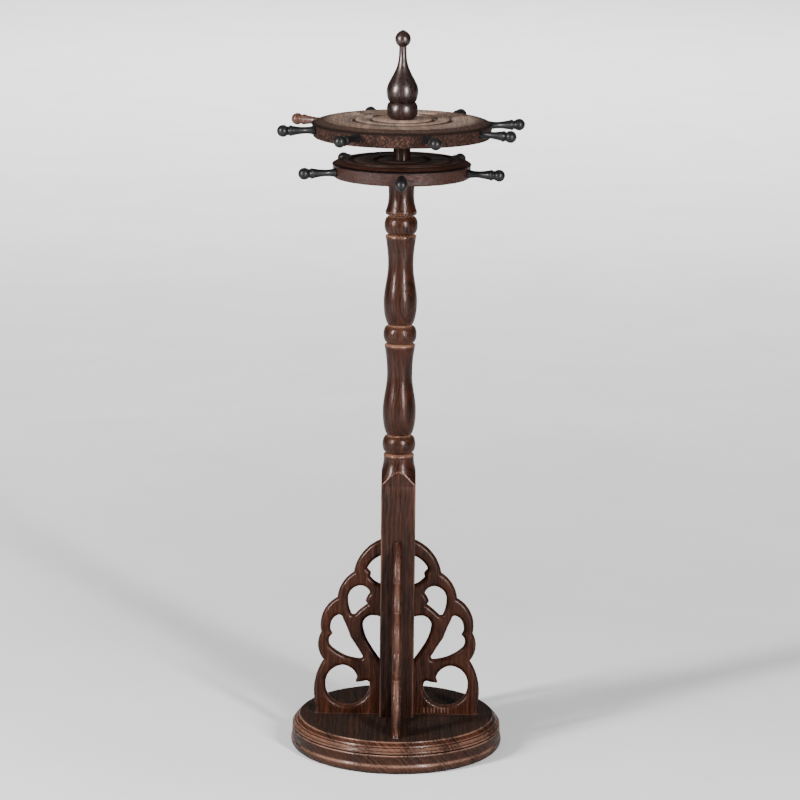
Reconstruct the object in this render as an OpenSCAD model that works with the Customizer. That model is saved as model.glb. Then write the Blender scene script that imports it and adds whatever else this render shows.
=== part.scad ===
// Brush hanging stand: a turned column on a round base, with two pegged discs that turn on a spindle.
// The origin is the centre of the base's underside, +Z is up and -Y is the front.

/* [Base] */
// Widest diameter of the base, on its lower tier
base_d = 134.4; // [126:0.2:146]
// Height of the base
base_h = 20; // [18:0.5:24]
// Height of the base's upper tier
base_tier_h = 7.2; // [6:0.2:8]
// Diameter of the flat on top of the base
base_flat_d = 122.6; // [116:0.2:124]

/* [Post and column] */
// Width of the square post
post_w = 21.7; // [20.5:0.1:23]
// Height at which the square post begins to turn round
post_top = 171; // [168:0.5:173]
// Heights of the column's three beads
bead_z = [196.7, 267, 336];
// Height of the column's shoulder, which carries the lower disc
shoulder_z = 366; // [362:0.5:372]
// Radius of the column at its beads
bead_r = 10.45; // [10:0.05:11]
// Radius of the column at its bellies
belly_r = 10.5; // [10:0.05:11]
// Radius of the column at its necks
neck_r = 7.9; // [7:0.05:8.4]
// Radius of the column in its grooves
groove_r = 7.6; // [7:0.05:8]

/* [Brackets] */
// Thickness of a bracket
bracket_t = 6; // [5:0.1:8]
// Height of a bracket where it meets the post
bracket_h = 114.4; // [112:0.1:117]
// Extra reach of the front bracket's foot
front_foot = 3.5; // [0:0.5:5]
// Extra height of the front bracket's top
front_rise = 2; // [0:0.5:3]

/* [Discs] */
// Widest diameter of the lower disc
lower_disc_d = 86.2; // [84:0.2:92]
// Widest diameter of the upper disc
upper_disc_d = 111.8; // [106:0.2:118]
// Thickness of both discs
disc_t = 11; // [10:0.2:13]
// Gap between the two discs
disc_gap = 14; // [12:0.5:18]
// Radii of the two ring grooves on the lower disc
lower_ring_r = [16.7, 31.1];
// Radii of the two ring grooves on the upper disc
upper_ring_r = [20.4, 31.2];
// Width of the lower disc's ovolo
lower_ovolo_w = 7.4; // [5:0.2:9]
// Width of the upper disc's ovolo
upper_ovolo_w = 8.6; // [6:0.2:10]
// Width of a ring groove
ring_w = 4.2; // [2:0.1:5]

/* [Spindle] */
// Radius of the spindle that the lower disc turns on
spindle_r = 5.3; // [5:0.05:6]
// Radius of the tenon that the upper disc turns on
tenon_r = 4; // [3.6:0.05:4.4]
// Length of tenon that enters the finial
finial_grip = 14; // [10:0.5:16]
// Radial running clearance of the discs and the finial
running_gap = 0.05; // [0.02:0.01:0.09]

/* [Pegs] */
// How far a peg stands out of its disc
peg_reach = 23.8; // [20:0.2:28]
// Radius of a peg's ball
peg_ball_r = 3.7; // [3.4:0.1:4.2]
// Height of the lower disc's pegs above its underside
lower_peg_h = 4.2; // [4:0.1:6]
// Height of the upper disc's pegs above its underside
upper_peg_h = 5.6; // [4:0.1:6]
// Angle of the first peg on the lower disc
lower_peg_turn = 270; // [0:1:359]
// Angle of the first peg on the upper disc
upper_peg_turn = 15.5; // [0:0.5:359]

/* [Finial] */
// Height of the finial
finial_h = 55; // [52:0.5:58]
// Radius of the finial's belly
finial_r = 9.85; // [9.4:0.05:10.4]

/* [Hidden] */
LOWER_PEGS = 5;
UPPER_PEGS = 8;
SIDES = ["right", "back", "left", "front"];
$fn = 96;

lower_disc_z = shoulder_z;
upper_disc_z = lower_disc_z + disc_t + disc_gap;
finial_z = upper_disc_z + disc_t;

// The post's tenon in the base, and the screw that draws it down
foot_tenon_w = 14;
foot_tenon_h = 12;
glue_gap = 0.1;
screw_r = 2;
screw_hole_r = 2.3;
screw_head_r = 4;
screw_head_h = 2.4;
washer_r = 5.5;
washer_t = 1;
recess_r = 6.2;
recess_h = 4.5;

// Bracket fastenings: distance out from the axis, and height above the base
bracket_screw_out = [23, 45.5];
bracket_screw_r = 1.5;
bracket_screw_head_r = 3;
bracket_screw_recess_h = 3;
bracket_screw_grip = 4.5;
dowel_z = [48, 89];
dowel_r = 1.5;
dowel_depth = 6;

// Peg tenon in the disc's rim
peg_tenon_r = 2.5;
peg_tenon_l = 9;
rim_taper = 0.8;
ring_depth = 1.1;

wood = "#3b2620";
wood_light = "#4a3228";
ebony = "#1d1a1b";
peg_brown = "#6b4030";
steel = "#a9a9a6";
birch = "#c9a877";

// 0 to 1 with a level start and a level end
function ease(t) = (1 - cos(180 * t)) / 2;

// 1 to 0 with a full, rounded shoulder
function dome(t) = pow(max(0, 1 - t * t), 0.7);

// Round bead: points [radius, height] from its bottom to its top
function bead(z, half_h, r, r_root, steps = 10, end = 80) = [
    for (i = [-steps:steps])
        let (a = end * i / steps)
        [r_root + (r - r_root) * cos(a), z + half_h * sin(a)]
];

// Hollow sweep between two heights, tight at z_tight and opening as a parabola to z_open
function sweep(z_tight, r_tight, z_open, r_open, steps = 8) = [
    for (i = [0:steps])
        let (t = i / steps)
        [r_tight + (r_open - r_tight) * t * t, z_tight + (z_open - z_tight) * t]
];

function reversed(list) = [for (i = [len(list) - 1:-1:0]) list[i]];

// Arc from p to q, without q. The bulge is the arc's rise over half its chord, positive to the left.
function arc(p, q, bulge, steps = 10) =
    let (
        chord = q - p,
        half = norm(chord) / 2,
        rise = bulge * half,
        side = [-chord[1], chord[0]] / norm(chord),
        sweep_a = 4 * atan(bulge),
        centre_h = abs(bulge) < 0.001 ? 0 : (half * half - rise * rise) / (2 * rise),
        centre = (p + q) / 2 - side * centre_h
    )
    abs(bulge) < 0.001 ? [p] : [
        for (i = [0:steps - 1])
            let (a = -sweep_a * i / steps, v = p - centre)
            centre + [v[0] * cos(a) - v[1] * sin(a), v[0] * sin(a) + v[1] * cos(a)]
    ];

// Closed outline of stations [x, y, bulge of the stretch to the next station]
function outline(stations) = [
    for (i = [0:len(stations) - 1])
        let (s = stations[i], n = stations[(i + 1) % len(stations)])
        each arc([s[0], s[1]], [n[0], n[1]], s[2])
];

module turned(points) {
    rotate_extrude() polygon(points);
}

// ---- Base ----

// Lower tier: a round bead, a straight wall and a rounded shoulder.
// Upper tier: a flat ovolo under a small step.
function base_profile() =
    let (
        r = base_d / 2,
        flat_r = base_flat_d / 2,
        notch_z = base_h - base_tier_h,
        bead_w = 3,
        bead_mid_z = 4,
        wall_r = r - 0.75,
        shoulder = 0.9,
        upper_r = r - 0.9,
        wide_z = base_h - 5.7,
        fullness = 1.8
    )
    concat(
        [[0, 0], [r - 2.4, 0]],
        [for (a = [-60:20:40]) [r - bead_w + bead_w * cos(a), bead_mid_z + (bead_mid_z - 0.3) * sin(a)]],
        [[wall_r, bead_mid_z + 3]],
        [for (a = [0:30:90]) [
            wall_r - shoulder + shoulder * cos(a), notch_z - 0.3 - shoulder + shoulder * sin(a)]],
        [[r - 2.1, notch_z - 0.3], [r - 2.1, notch_z + 0.2]],
        [for (t = [0:0.25:1]) [
            r - 1.9 + (upper_r - r + 1.9) * sin(90 * t), notch_z + 0.3 + (wide_z - notch_z - 0.3) * t]],
        [for (a = [15:15:75]) [
            flat_r + 0.7 + (upper_r - flat_r - 0.7) * pow(cos(a), fullness),
            wide_z + (base_h - 0.5 - wide_z) * pow(sin(a), fullness)
        ]],
        [[flat_r + 0.5, base_h - 0.5], [flat_r, base_h], [0, base_h]]
    );

module base_plate() {
    color(wood) difference() {
        turned(base_profile());
        translate([0, 0, base_h - foot_tenon_h / 2 + 0.5])
            cube([foot_tenon_w + 2 * glue_gap, foot_tenon_w + 2 * glue_gap, foot_tenon_h + 1], center = true);
        translate([0, 0, -1]) cylinder(r = screw_hole_r, h = base_h);
        translate([0, 0, -1]) cylinder(r = recess_r, h = recess_h + 1);
        for (i = [0:3], out = bracket_screw_out) rotate(90 * i) translate([out, 0, -1]) {
            cylinder(r = bracket_screw_r + 0.1, h = base_h + 2);
            cylinder(r = bracket_screw_head_r + 0.4, h = bracket_screw_recess_h + 1);
        }
    }
}

// ---- Post and column ----

// One knot of the column: a bead between two grooves, over the crisp edge of a collar
function knot(z) = concat(
    [[9.6, z - 7.3], [9.5, z - 6.5], [groove_r, z - 5.7]],
    bead(z, 5.2, bead_r, groove_r + 0.4),
    [[groove_r, z + 5.6], [groove_r, z + 6.2]]
);

// Baluster between the groove at the top of one knot and the collar under the next
function baluster(z_low, z_high) =
    let (
        l = z_high - z_low,
        belly_z = z_low + 0.255 * l,
        neck_z = z_low + 0.68 * l
    )
    concat(
        [for (t = [0.95, 0.85, 0.72, 0.58, 0.42, 0.22, 0]) [
            groove_r + (belly_r - groove_r) * dome(t), belly_z - (belly_z - z_low) * t]],
        [for (i = [1:12]) [
            belly_r + (neck_r - belly_r) * ease(i / 12), belly_z + (neck_z - belly_z) * i / 12]],
        sweep(neck_z, neck_r, z_high, 9.65)
    );

function column_profile() =
    let (tongue_h = 17, corner_r = post_w / sqrt(2) + 0.01)
    concat(
        [[0, base_h], [corner_r, base_h], [corner_r, post_top]],
        reversed(sweep(post_top + tongue_h, 9.5, post_top, corner_r, 12)),
        knot(bead_z[0]),
        baluster(bead_z[0] + 6.3, bead_z[1] - 7.4),
        knot(bead_z[1]),
        baluster(bead_z[1] + 6.3, bead_z[2] - 7.4),
        knot(bead_z[2]),
        [[9.5, bead_z[2] + 7], [9.8, bead_z[2] + 7.6]],
        reversed(sweep(bead_z[2] + 18.7, neck_r, bead_z[2] + 8.6, 9.8)),
        sweep(bead_z[2] + 19, neck_r, shoulder_z, 9.3),
        [[0, shoulder_z]]
    );

module column() {
    color(wood) difference() {
        union() {
            intersection() {
                turned(column_profile());
                translate([-post_w / 2, -post_w / 2, base_h]) cube([post_w, post_w, shoulder_z - base_h]);
            }
            translate([-foot_tenon_w / 2, -foot_tenon_w / 2, base_h - foot_tenon_h + 0.2])
                cube([foot_tenon_w, foot_tenon_w, foot_tenon_h]);
            cylinder(r = spindle_r, h = upper_disc_z);
            cylinder(r = tenon_r, h = finial_z + finial_grip);
        }
        cylinder(r = 30, h = base_h - foot_tenon_h + 0.2);
        cylinder(r = screw_r, h = base_h + 16);
        for (i = [0:3], z = dowel_z) rotate(90 * i) translate([post_w / 2 - dowel_depth, 0, z])
            rotate([0, 90, 0]) cylinder(r = dowel_r, h = dowel_depth + 5);
    }
}

// ---- Brackets ----

// Outlines in the bracket's own plane: distance out from the axis, height above the base, bulge.
// The stations marked root lie on the post's face.
root = post_w / 2;
function bracket_edge(rise, foot) = [
    [root, bracket_h + rise, 0.26], [27.8, 92.9, 0.23], [38.1, 76.2, 0.34], [48.2, 53.3, 0.32],
    [46.6, 35.1, 0.22], [50.8 + foot, 4.4, -0.2], [51.8 + foot, 0, 0], [root, 0, 0]
];
TOP_ARCH = [
    [root - 1, 104.2, 0.2], [19.2, 95.7, 0], [16.7, 92.8, 0], [17.3, 90.3, 0.18], [root - 1, 85, 0]
];
HIGH_PETAL = [
    [17.4, 79.4, 0.36], [24.1, 84.1, 0.4], [31.2, 74.6, 0.1], [29.3, 66.2, 0.6],
    [26.6, 65.4, -0.06], [18.9, 72, 0], [20.2, 74.2, -0.1]
];
INNER_LEAF = [
    [root - 1, 63.3, 0.14], [16.5, 64.5, 0.34], [21.8, 58.4, 0.12], [16.8, 44.8, 0.02], [root - 1, 34.5, 0]
];
OUTER_LEAF = [
    [37.1, 64.8, 0.3], [42.2, 58.2, 0.18], [42, 54.2, 0], [40.9, 52.3, 0], [42.4, 50.8, 0.35],
    [41.6, 43.6, 0.1], [31.2, 37.4, 0.05], [23.4, 35.8, 0.7], [22.3, 38.4, 0.02], [29.6, 50, 0.04],
    [34.6, 62.4, 0.42]
];
LOW_ROUND = [
    [25.2, 23.4, 0.34], [34.6, 31.6, 0.4], [45.4, 19, 0.42], [32, 5.4, 0.36], [17.6, 15.6, 0.12],
    [17.3, 19.4, 0.4], [19.4, 21.4, -0.06], [26.3, 20.2, -0.1]
];

module bracket_shape(rise, foot) {
    difference() {
        polygon(outline(bracket_edge(rise, foot)));
        polygon(outline(TOP_ARCH));
        polygon(outline(HIGH_PETAL));
        polygon(outline(INNER_LEAF));
        polygon(outline(OUTER_LEAF));
        polygon(outline(LOW_ROUND));
    }
}

module bracket(turn, rise = 0, foot = 0) {
    color(wood_light) rotate(turn) difference() {
        translate([0, bracket_t / 2, base_h]) rotate([90, 0, 0])
            linear_extrude(bracket_t) bracket_shape(rise, foot);
        for (out = bracket_screw_out) translate([out, 0, base_h - 1])
            cylinder(r = bracket_screw_r, h = bracket_screw_grip + 1);
        for (z = dowel_z) translate([root - 1, 0, z])
            rotate([0, 90, 0]) cylinder(r = dowel_r, h = dowel_depth + 1);
    }
}

// ---- Discs ----

// Disc profile with a tapered rim, an ovolo over it and a round-bottomed ring groove at each radius
function disc_profile(r, ovolo_w, bore_r, rings) =
    let (
        ovolo_h = 2.5,
        ovolo_r = (ovolo_w * ovolo_w + ovolo_h * ovolo_h) / (2 * ovolo_h),
        end_a = asin(ovolo_w / ovolo_r),
        edge_r = 1.3
    )
    concat(
        [[bore_r, 0]],
        [for (a = [-90:22.5:0]) [r - rim_taper - edge_r + edge_r * cos(a), edge_r + edge_r * sin(a)]],
        [[r - 0.2, disc_t - ovolo_h - 0.3]],
        [for (i = [8:-1:0])
            let (a = end_a * i / 8)
            [r - ovolo_w + ovolo_r * sin(a), disc_t - ovolo_r + ovolo_r * cos(a)]],
        [for (i = [len(rings) - 1:-1:0]) each [for (a = [0:30:180]) [
            rings[i] + ring_w / 2 * cos(a), disc_t - ring_depth * sin(a)]]],
        [[bore_r, disc_t]]
    );

module disc(z, d, ovolo_w, bore_r, rings, pegs, peg_h, turn) {
    color(wood_light) translate([0, 0, z]) difference() {
        turned(disc_profile(d / 2, ovolo_w, bore_r + running_gap, rings));
        for (i = [0:pegs - 1]) rotate(turn + 360 / pegs * i) translate([d / 2 - peg_tenon_l - 0.5, 0, peg_h])
            rotate([0, 90, 0]) cylinder(r = peg_tenon_r + 0.05, h = peg_tenon_l + 5);
    }
}

module lower_disc() {
    disc(lower_disc_z, lower_disc_d, lower_ovolo_w, spindle_r, lower_ring_r,
        LOWER_PEGS, lower_peg_h, lower_peg_turn);
}

module upper_disc() {
    disc(upper_disc_z, upper_disc_d, upper_ovolo_w, tenon_r, upper_ring_r,
        UPPER_PEGS, upper_peg_h, upper_peg_turn);
}

// ---- Pegs ----

// Peg profile as [radius, distance out from the disc's rim]
function peg_profile() =
    let (
        ball_x = peg_reach - peg_ball_r,
        collar_x = ball_x - 4.9,
        waist_x = 6
    )
    concat(
        [[0, -peg_tenon_l], [peg_tenon_r, -peg_tenon_l], [peg_tenon_r, 0]],
        [[2.8, 0.4]],
        reversed(sweep(waist_x, 2.05, 0.9, 2.7, 4)),
        [for (i = [1:4]) [2.05 + 0.98 * pow(i / 4, 1.7), waist_x + (collar_x - waist_x - 0.9) * i / 4]],
        [[3.28, collar_x - 0.4], [3.33, collar_x], [3.1, collar_x + 0.6]],
        [[2.75, collar_x + 1.3], [2.72, collar_x + 1.9]],
        [for (a = [-42:14:70]) [peg_ball_r * cos(a), ball_x + peg_ball_r * sin(a)]],
        [[0, peg_reach]]
    );

module peg(disc_r, z, turn, tint) {
    color(tint) rotate(turn) translate([disc_r, 0, z]) rotate([0, 90, 0]) turned(peg_profile());
}

module lower_peg(i) {
    turn = lower_peg_turn + 360 / LOWER_PEGS * (i - 1);
    peg(lower_disc_d / 2 - rim_taper / 2, lower_disc_z + lower_peg_h, turn, ebony);
}

// The fourth peg of the upper disc is in a browner wood than the others
module upper_peg(i) {
    turn = upper_peg_turn + 360 / UPPER_PEGS * (i - 1);
    peg(upper_disc_d / 2 - rim_taper / 2, upper_disc_z + upper_peg_h, turn, i == 4 ? peg_brown : ebony);
}

// ---- Finial ----

// Points [radius, height] for a finial 55 high, scaled to the height asked for
function finial_profile() =
    let (belly_z = 17.3, neck_z = 43.5, neck = 2.33, waist = 8)
    concat(
        [[0, 0], [6.9, 0], [7.3, 0.4]],
        [for (a = [-62:15.5:0]) [6.9 + 2.75 * cos(a), 6 + 5.6 * sin(a)]],
        [for (a = [14:14:70]) [6.9 + 2.75 * cos(a), 6 + 5 * sin(a)]],
        [for (t = [0.92, 0.8, 0.65, 0.45, 0.22, 0]) [
            waist + (finial_r - waist) * dome(t), belly_z - 6.4 * t]],
        [for (i = [1:16])
            let (t = i / 16)
            [neck + (finial_r - neck) * ease(pow(1 - t, 1.5)), belly_z + (neck_z - belly_z) * t]],
        [[neck, neck_z + 1.2], [2.6, neck_z + 1.6]],
        [for (a = [-46:11.5:0]) [4.88 * cos(a), 49.3 + 4.9 * sin(a)]],
        [for (a = [12:12:84]) [4.88 * pow(cos(a), 1.4), 49.3 + 5.7 * sin(a)]],
        [[0, 55]]
    );

module finial() {
    color(wood) translate([0, 0, finial_z]) difference() {
        turned([for (p = finial_profile()) [p[0], p[1] * finial_h / 55]]);
        translate([0, 0, -1]) cylinder(r = tenon_r + running_gap, h = finial_grip + 1.5);
    }
}

// ---- Fastenings ----

module screw(r, head_r, head_h, reach, slot_w) {
    difference() {
        union() {
            cylinder(r = r, h = reach);
            cylinder(r = head_r, h = head_h);
        }
        for (a = [0, 90]) rotate(a) translate([0, 0, head_h / 4])
            cube([head_r * 1.1, slot_w, head_h / 2 + 0.02], center = true);
    }
}

module column_screw() {
    color(steel) translate([0, 0, recess_h - washer_t - screw_head_h])
        screw(screw_r, screw_head_r, screw_head_h, base_h + 10, 1.2);
}

module column_washer() {
    color(steel) translate([0, 0, recess_h - washer_t]) difference() {
        cylinder(r = washer_r, h = washer_t);
        translate([0, 0, -1]) cylinder(r = screw_r + 0.2, h = washer_t + 2);
    }
}

module bracket_screws() {
    head_h = 1.8;
    base_z = bracket_screw_recess_h - head_h;
    color(steel) for (i = [0:3], out = bracket_screw_out) rotate(90 * i) translate([out, 0, base_z])
        screw(bracket_screw_r, bracket_screw_head_r, head_h, base_h - base_z + bracket_screw_grip, 0.9);
}

module bracket_dowels() {
    color(birch) for (i = [0:3], z = dowel_z) rotate(90 * i) translate([post_w / 2 - dowel_depth, 0, z])
        rotate([0, 90, 0]) cylinder(r = dowel_r, h = 2 * dowel_depth);
}

base_plate();
column();
for (i = [0:3]) bracket(90 * i, i == 3 ? front_rise : 0, i == 3 ? front_foot : 0);
lower_disc();
upper_disc();
for (i = [1:LOWER_PEGS]) lower_peg(i);
for (i = [1:UPPER_PEGS]) upper_peg(i);
finial();
column_screw();
column_washer();
bracket_screws();
bracket_dowels();
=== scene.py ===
"""Looks of a turned brush hanging stand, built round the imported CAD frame. Lengths are in metres."""
import math

import bmesh
import bpy
import numpy as np
from mathutils import Matrix, Vector


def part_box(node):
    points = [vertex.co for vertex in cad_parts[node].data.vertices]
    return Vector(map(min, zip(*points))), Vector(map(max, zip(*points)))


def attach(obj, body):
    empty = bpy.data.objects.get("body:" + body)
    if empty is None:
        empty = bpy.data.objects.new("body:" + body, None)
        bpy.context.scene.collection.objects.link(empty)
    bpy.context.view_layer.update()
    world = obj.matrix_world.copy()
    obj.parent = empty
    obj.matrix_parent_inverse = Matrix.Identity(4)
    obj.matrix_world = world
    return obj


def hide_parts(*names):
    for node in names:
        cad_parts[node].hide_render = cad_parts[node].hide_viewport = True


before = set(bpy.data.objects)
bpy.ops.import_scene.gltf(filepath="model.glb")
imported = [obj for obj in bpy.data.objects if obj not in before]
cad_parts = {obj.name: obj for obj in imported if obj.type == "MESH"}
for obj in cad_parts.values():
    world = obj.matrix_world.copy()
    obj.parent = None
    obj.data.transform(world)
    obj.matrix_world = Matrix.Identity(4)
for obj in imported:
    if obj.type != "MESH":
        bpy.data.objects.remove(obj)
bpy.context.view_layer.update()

MM = 0.001
SIDES = ("right", "back", "left", "front")
LOWER_PEGS, LOWER_PEG_START = 5, 270
UPPER_PEGS, UPPER_PEG_START = 8, 15.5
BROWN_PEG = 4
FINE_STEPS = 224


# ---- Sizes, read from the frame or repeated from the design in millimetres ----

def top_of(node):
    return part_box(node)[1].z


def bottom_of(node):
    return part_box(node)[0].z


def reach_of(node):
    """Radius of a node that is turned round the stand's own axis."""
    low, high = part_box(node)
    return max(high.x, high.y, -low.x, -low.y)


BASE_R = reach_of("base_plate")
BASE_H = top_of("base_plate")
POST_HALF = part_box("column")[1].x
SHOULDER_Z = bottom_of("lower_disc")
UPPER_Z = bottom_of("upper_disc")
FINIAL_Z = bottom_of("finial")
DISC_T = top_of("lower_disc") - SHOULDER_Z


# ---- Mesh helpers ----

def mesh_object(name, vertices, faces):
    mesh = bpy.data.meshes.new(name)
    mesh.from_pydata([tuple(v) for v in vertices], [], faces)
    mesh.validate()
    made = bpy.data.objects.new(name, mesh)
    bpy.context.scene.collection.objects.link(made)
    return made


def shade(made, sharp_degrees=40):
    """Smooth shading that keeps the edges sharper than an angle."""
    made.data.shade_smooth()
    made.data.set_sharp_from_angle(angle=math.radians(sharp_degrees))


def paint(made, name, values):
    """A number at each vertex, for the material to read."""
    attribute = made.data.attributes.new(name, "FLOAT", "POINT")
    attribute.data.foreach_set("value", np.asarray(values, np.float32))


def skin(name, rings, closed=False):
    """Quads between successive rings of points, shaped (rings, steps, 3). Open ends are capped by a fan."""
    count, steps = rings.shape[:2]
    vertices = rings.reshape(-1, 3)
    start = np.arange(count if closed else count - 1)[:, None] * steps
    j = np.arange(steps)[None, :]
    nxt = (j + 1) % steps
    above = (start + steps) % (count * steps)
    faces = np.stack([start + j, start + nxt, above + nxt, above + j], -1).reshape(-1, 4).tolist()
    if not closed:
        last = (count - 1) * steps
        middle = np.array([rings[0].mean(0), rings[-1].mean(0)])
        vertices = np.vstack([vertices, middle])
        low, high = count * steps, count * steps + 1
        faces += [[low, (k + 1) % steps, k] for k in range(steps)]
        faces += [[high, last + k, last + (k + 1) % steps] for k in range(steps)]
    return mesh_object(name, vertices, faces)


def edge_tone(profile):
    """How sharply a profile turns at each point: above 0 on an arris, below 0 in a groove."""
    shortest, full_curve = 0.1 * MM, 0.5 * MM
    points = np.asarray(profile, float)
    before, after = np.roll(points, 1, 0), np.roll(points, -1, 0)
    before[0], after[-1] = points[0], points[-1]
    u, v = points - before, after - points
    length = np.linalg.norm(u, axis=1) + np.linalg.norm(v, axis=1) + shortest
    turn = np.arctan2(u[:, 0] * v[:, 1] - u[:, 1] * v[:, 0], (u * v).sum(1))
    return np.clip(turn / length * full_curve, -1, 1)


def soft_line(values, middle, width):
    """1 at the middle of a line, fading to 0 on both sides."""
    return np.exp(-((values - middle) / width) ** 2)


def turned(name, profile, steps=96, closed=False, limit=None, turn=None, edge_marks=None, shade_and_stain=None):
    """Lathe work round Z from (radius, height) points. limit trims the radii, for a squared part.
    The last two arguments are functions. The first gives, from radii and heights in metres and angles, where
    the wood is pale, above 0, from wear and painted highlight, or dark, below 0, from dirt and painted shade.
    The second gives, from radii and heights, where the colour takes painted shade, with a darker stain on
    some pieces."""
    points = np.asarray(profile, float)
    angles = np.linspace(0, 2 * math.pi, steps, endpoint=False)[None, :]
    radii = np.repeat(points[:, :1], steps, 1)
    heights = np.repeat(points[:, 1:2], steps, 1)
    if limit is not None:
        radii = limit(radii, angles)
    rings = np.stack([radii * np.cos(angles), radii * np.sin(angles), heights], -1)
    made = skin(name, rings, closed)
    # Pale and dark marks along the profile: wear and dirt, with painted highlight and painted shade on some
    # pieces.
    edge = np.repeat(edge_tone(points)[:, None], steps, 1)
    if edge_marks is not None:
        chosen = edge_marks(radii, heights, angles)
        edge = np.where(chosen < 0, chosen, np.maximum(edge, chosen))
    # Painted shade, with a darker stain on some pieces, for the material to mix into the colour.
    shadow = shade_and_stain(radii, heights) if shade_and_stain is not None else np.zeros_like(radii)
    cap_points = np.zeros(len(made.data.vertices) - radii.size)
    paint(made, "edge", np.concatenate([edge.ravel(), cap_points]))
    paint(made, "shade_and_stain", np.concatenate([shadow.ravel(), cap_points + shadow[-1, -1]]))
    if turn is not None:
        made.data.transform(turn)
    shade(made)
    return made


def ease(t):
    return (1 - math.cos(math.pi * t)) / 2


def dome(t, power=0.7):
    return max(0.0, 1 - t * t) ** power


def arc_points(centre_r, centre_z, half_r, half_z, first, last, steps):
    """Points of an ellipse between two angles in degrees, 0 outward and 90 up."""
    found = []
    for i in range(steps + 1):
        a = math.radians(first + (last - first) * i / steps)
        found.append((centre_r + half_r * math.cos(a), centre_z + half_z * math.sin(a)))
    return found


def sweep(z_tight, r_tight, z_open, r_open, steps=16):
    """Hollow sweep between two heights, tight at z_tight and opening as a parabola to z_open."""
    return [(r_tight + (r_open - r_tight) * (i / steps) ** 2, z_tight + (z_open - z_tight) * i / steps)
            for i in range(steps + 1)]


def in_metres(profile, lift=0.0):
    return [(r * MM, z * MM + lift) for r, z in profile]


# ---- Base ----

# The flat top's radius and the height of the notch between the tiers, in millimetres.
FLAT_R = 61.3
NOTCH_Z = BASE_H / MM - 7.2


def base_profile():
    """(radius, height) in millimetres: a bead, a straight wall and a shoulder under a flat ovolo
    with a fine groove."""
    r, height = BASE_R / MM, BASE_H / MM
    wall_r, shoulder = r - 0.75, 0.9
    inner_r, outer_r = FLAT_R + 0.7, r - 0.9
    wide_z, crest_z = height - 5.7, height - 0.55
    flatness, groove, groove_places = 1.8, 0.22, (9, 10)
    points = [(0.0, 0.0), (r * 0.5, 0.0), (r - 3.2, 0.0), (r - 2.4, 0.12)]
    points += arc_points(r - 3, 4, 3, 3.75, -62, 42, 14)
    points += [(wall_r, 7.0), (wall_r - 0.05, 9.2), (wall_r, 11.2)]
    points += arc_points(wall_r - shoulder, NOTCH_Z - 0.3 - shoulder, shoulder, shoulder, 0, 90, 8)
    points += [(r - 2.2, NOTCH_Z - 0.35), (r - 2.25, NOTCH_Z + 0.1)]
    points += arc_points(r - 2.2, NOTCH_Z + 0.9, 1.3, 0.7, -70, 0, 6)
    for i in range(1, 19):
        a = math.radians(90 * i / 20)
        dip = groove if i in groove_places else 0.0
        points.append((inner_r + (outer_r - inner_r) * math.cos(a) ** flatness - dip,
                       wide_z + (crest_z - wide_z) * math.sin(a) ** flatness - dip))
    points += [(FLAT_R + 0.75, crest_z), (FLAT_R + 0.45, height - 0.5), (FLAT_R + 0.3, height - 0.15)]
    points += [(FLAT_R, height), (FLAT_R - 1.5, height), (FLAT_R * 0.6, height), (0.0, height)]
    return points


def cut_away(made, cutters):
    """Takes the cutters out of a piece and removes them."""
    for cutter in cutters:
        modifier = made.modifiers.new("cut", "BOOLEAN")
        modifier.operation = "DIFFERENCE"
        modifier.solver = "EXACT"
        modifier.object = cutter
    view = bpy.context.evaluated_depsgraph_get()
    result = bpy.data.meshes.new_from_object(made.evaluated_get(view))
    made.modifiers.clear()
    made.data = result
    for cutter in cutters:
        bpy.data.objects.remove(cutter)


def rod(name, radius, low, high, out=0.0, turn=0.0, steps=48):
    """A plain cutter: a vertical cylinder at a distance out from the axis."""
    place = Matrix.Rotation(turn, 4, "Z") @ Matrix.Translation((out, 0, 0))
    return turned(name, [(radius, low), (radius, high)], steps, turn=place)


# Holes under the base: radius, lowest and highest point, as in the design.
WASHER_RECESS = (6.2 * MM, -1 * MM, 4.5 * MM)
SCREW_HOLE = (2.3 * MM, 4 * MM, 12 * MM)
HEAD_RECESS = (3.4 * MM, -1 * MM, 3 * MM)
BRACKET_SCREW_OUT = (23 * MM, 45.5 * MM)
# Painted highlight lines on the base: height and width in millimetres, and strength.
BASE_HIGHLIGHTS = ((12.3, 0.5, 0.5), (5.6, 0.8, 0.4), (15.6, 0.5, 0.2))


def base_highlights_and_shade(radii, heights, angles):
    """Painted highlight lines on the shoulder of the lower tier, on its bead and on the lip of the upper
    tier, and painted shade in the notch between the tiers."""
    z = heights / MM
    lines = sum(soft_line(z, middle, width) * strength for middle, width, strength in BASE_HIGHLIGHTS)
    # Painted shade in the notch under the upper tier's lip.
    in_notch = (z > NOTCH_Z - 0.45) & (z < NOTCH_Z + 0.7) & (radii < BASE_R - 1.4 * MM)
    lines = np.where(in_notch, -1.0, lines)
    return np.where(radii > 0.95 * BASE_R, lines, 0)


def shaded_base(radii, heights):
    """Painted shade over a darker stain on the flat top, and painted shade on the lower tier, most on its
    wall and under its bead.
    """
    z = heights / MM
    wall_low, wall_high, notch, bead_low, foot = 6.6, 11.6, 13, 4.6, 0.6
    flat = (heights > BASE_H - 0.2 * MM) & (radii < (FLAT_R + 0.1) * MM)
    wall = np.where((z > wall_low) & (z < wall_high), 0.5, np.where(z < notch, 0.25, 0.0))
    under = np.clip((bead_low - z) / (bead_low - foot), 0, 1) * 0.9
    return np.where(flat, 0.85, np.maximum(wall, under))


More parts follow.
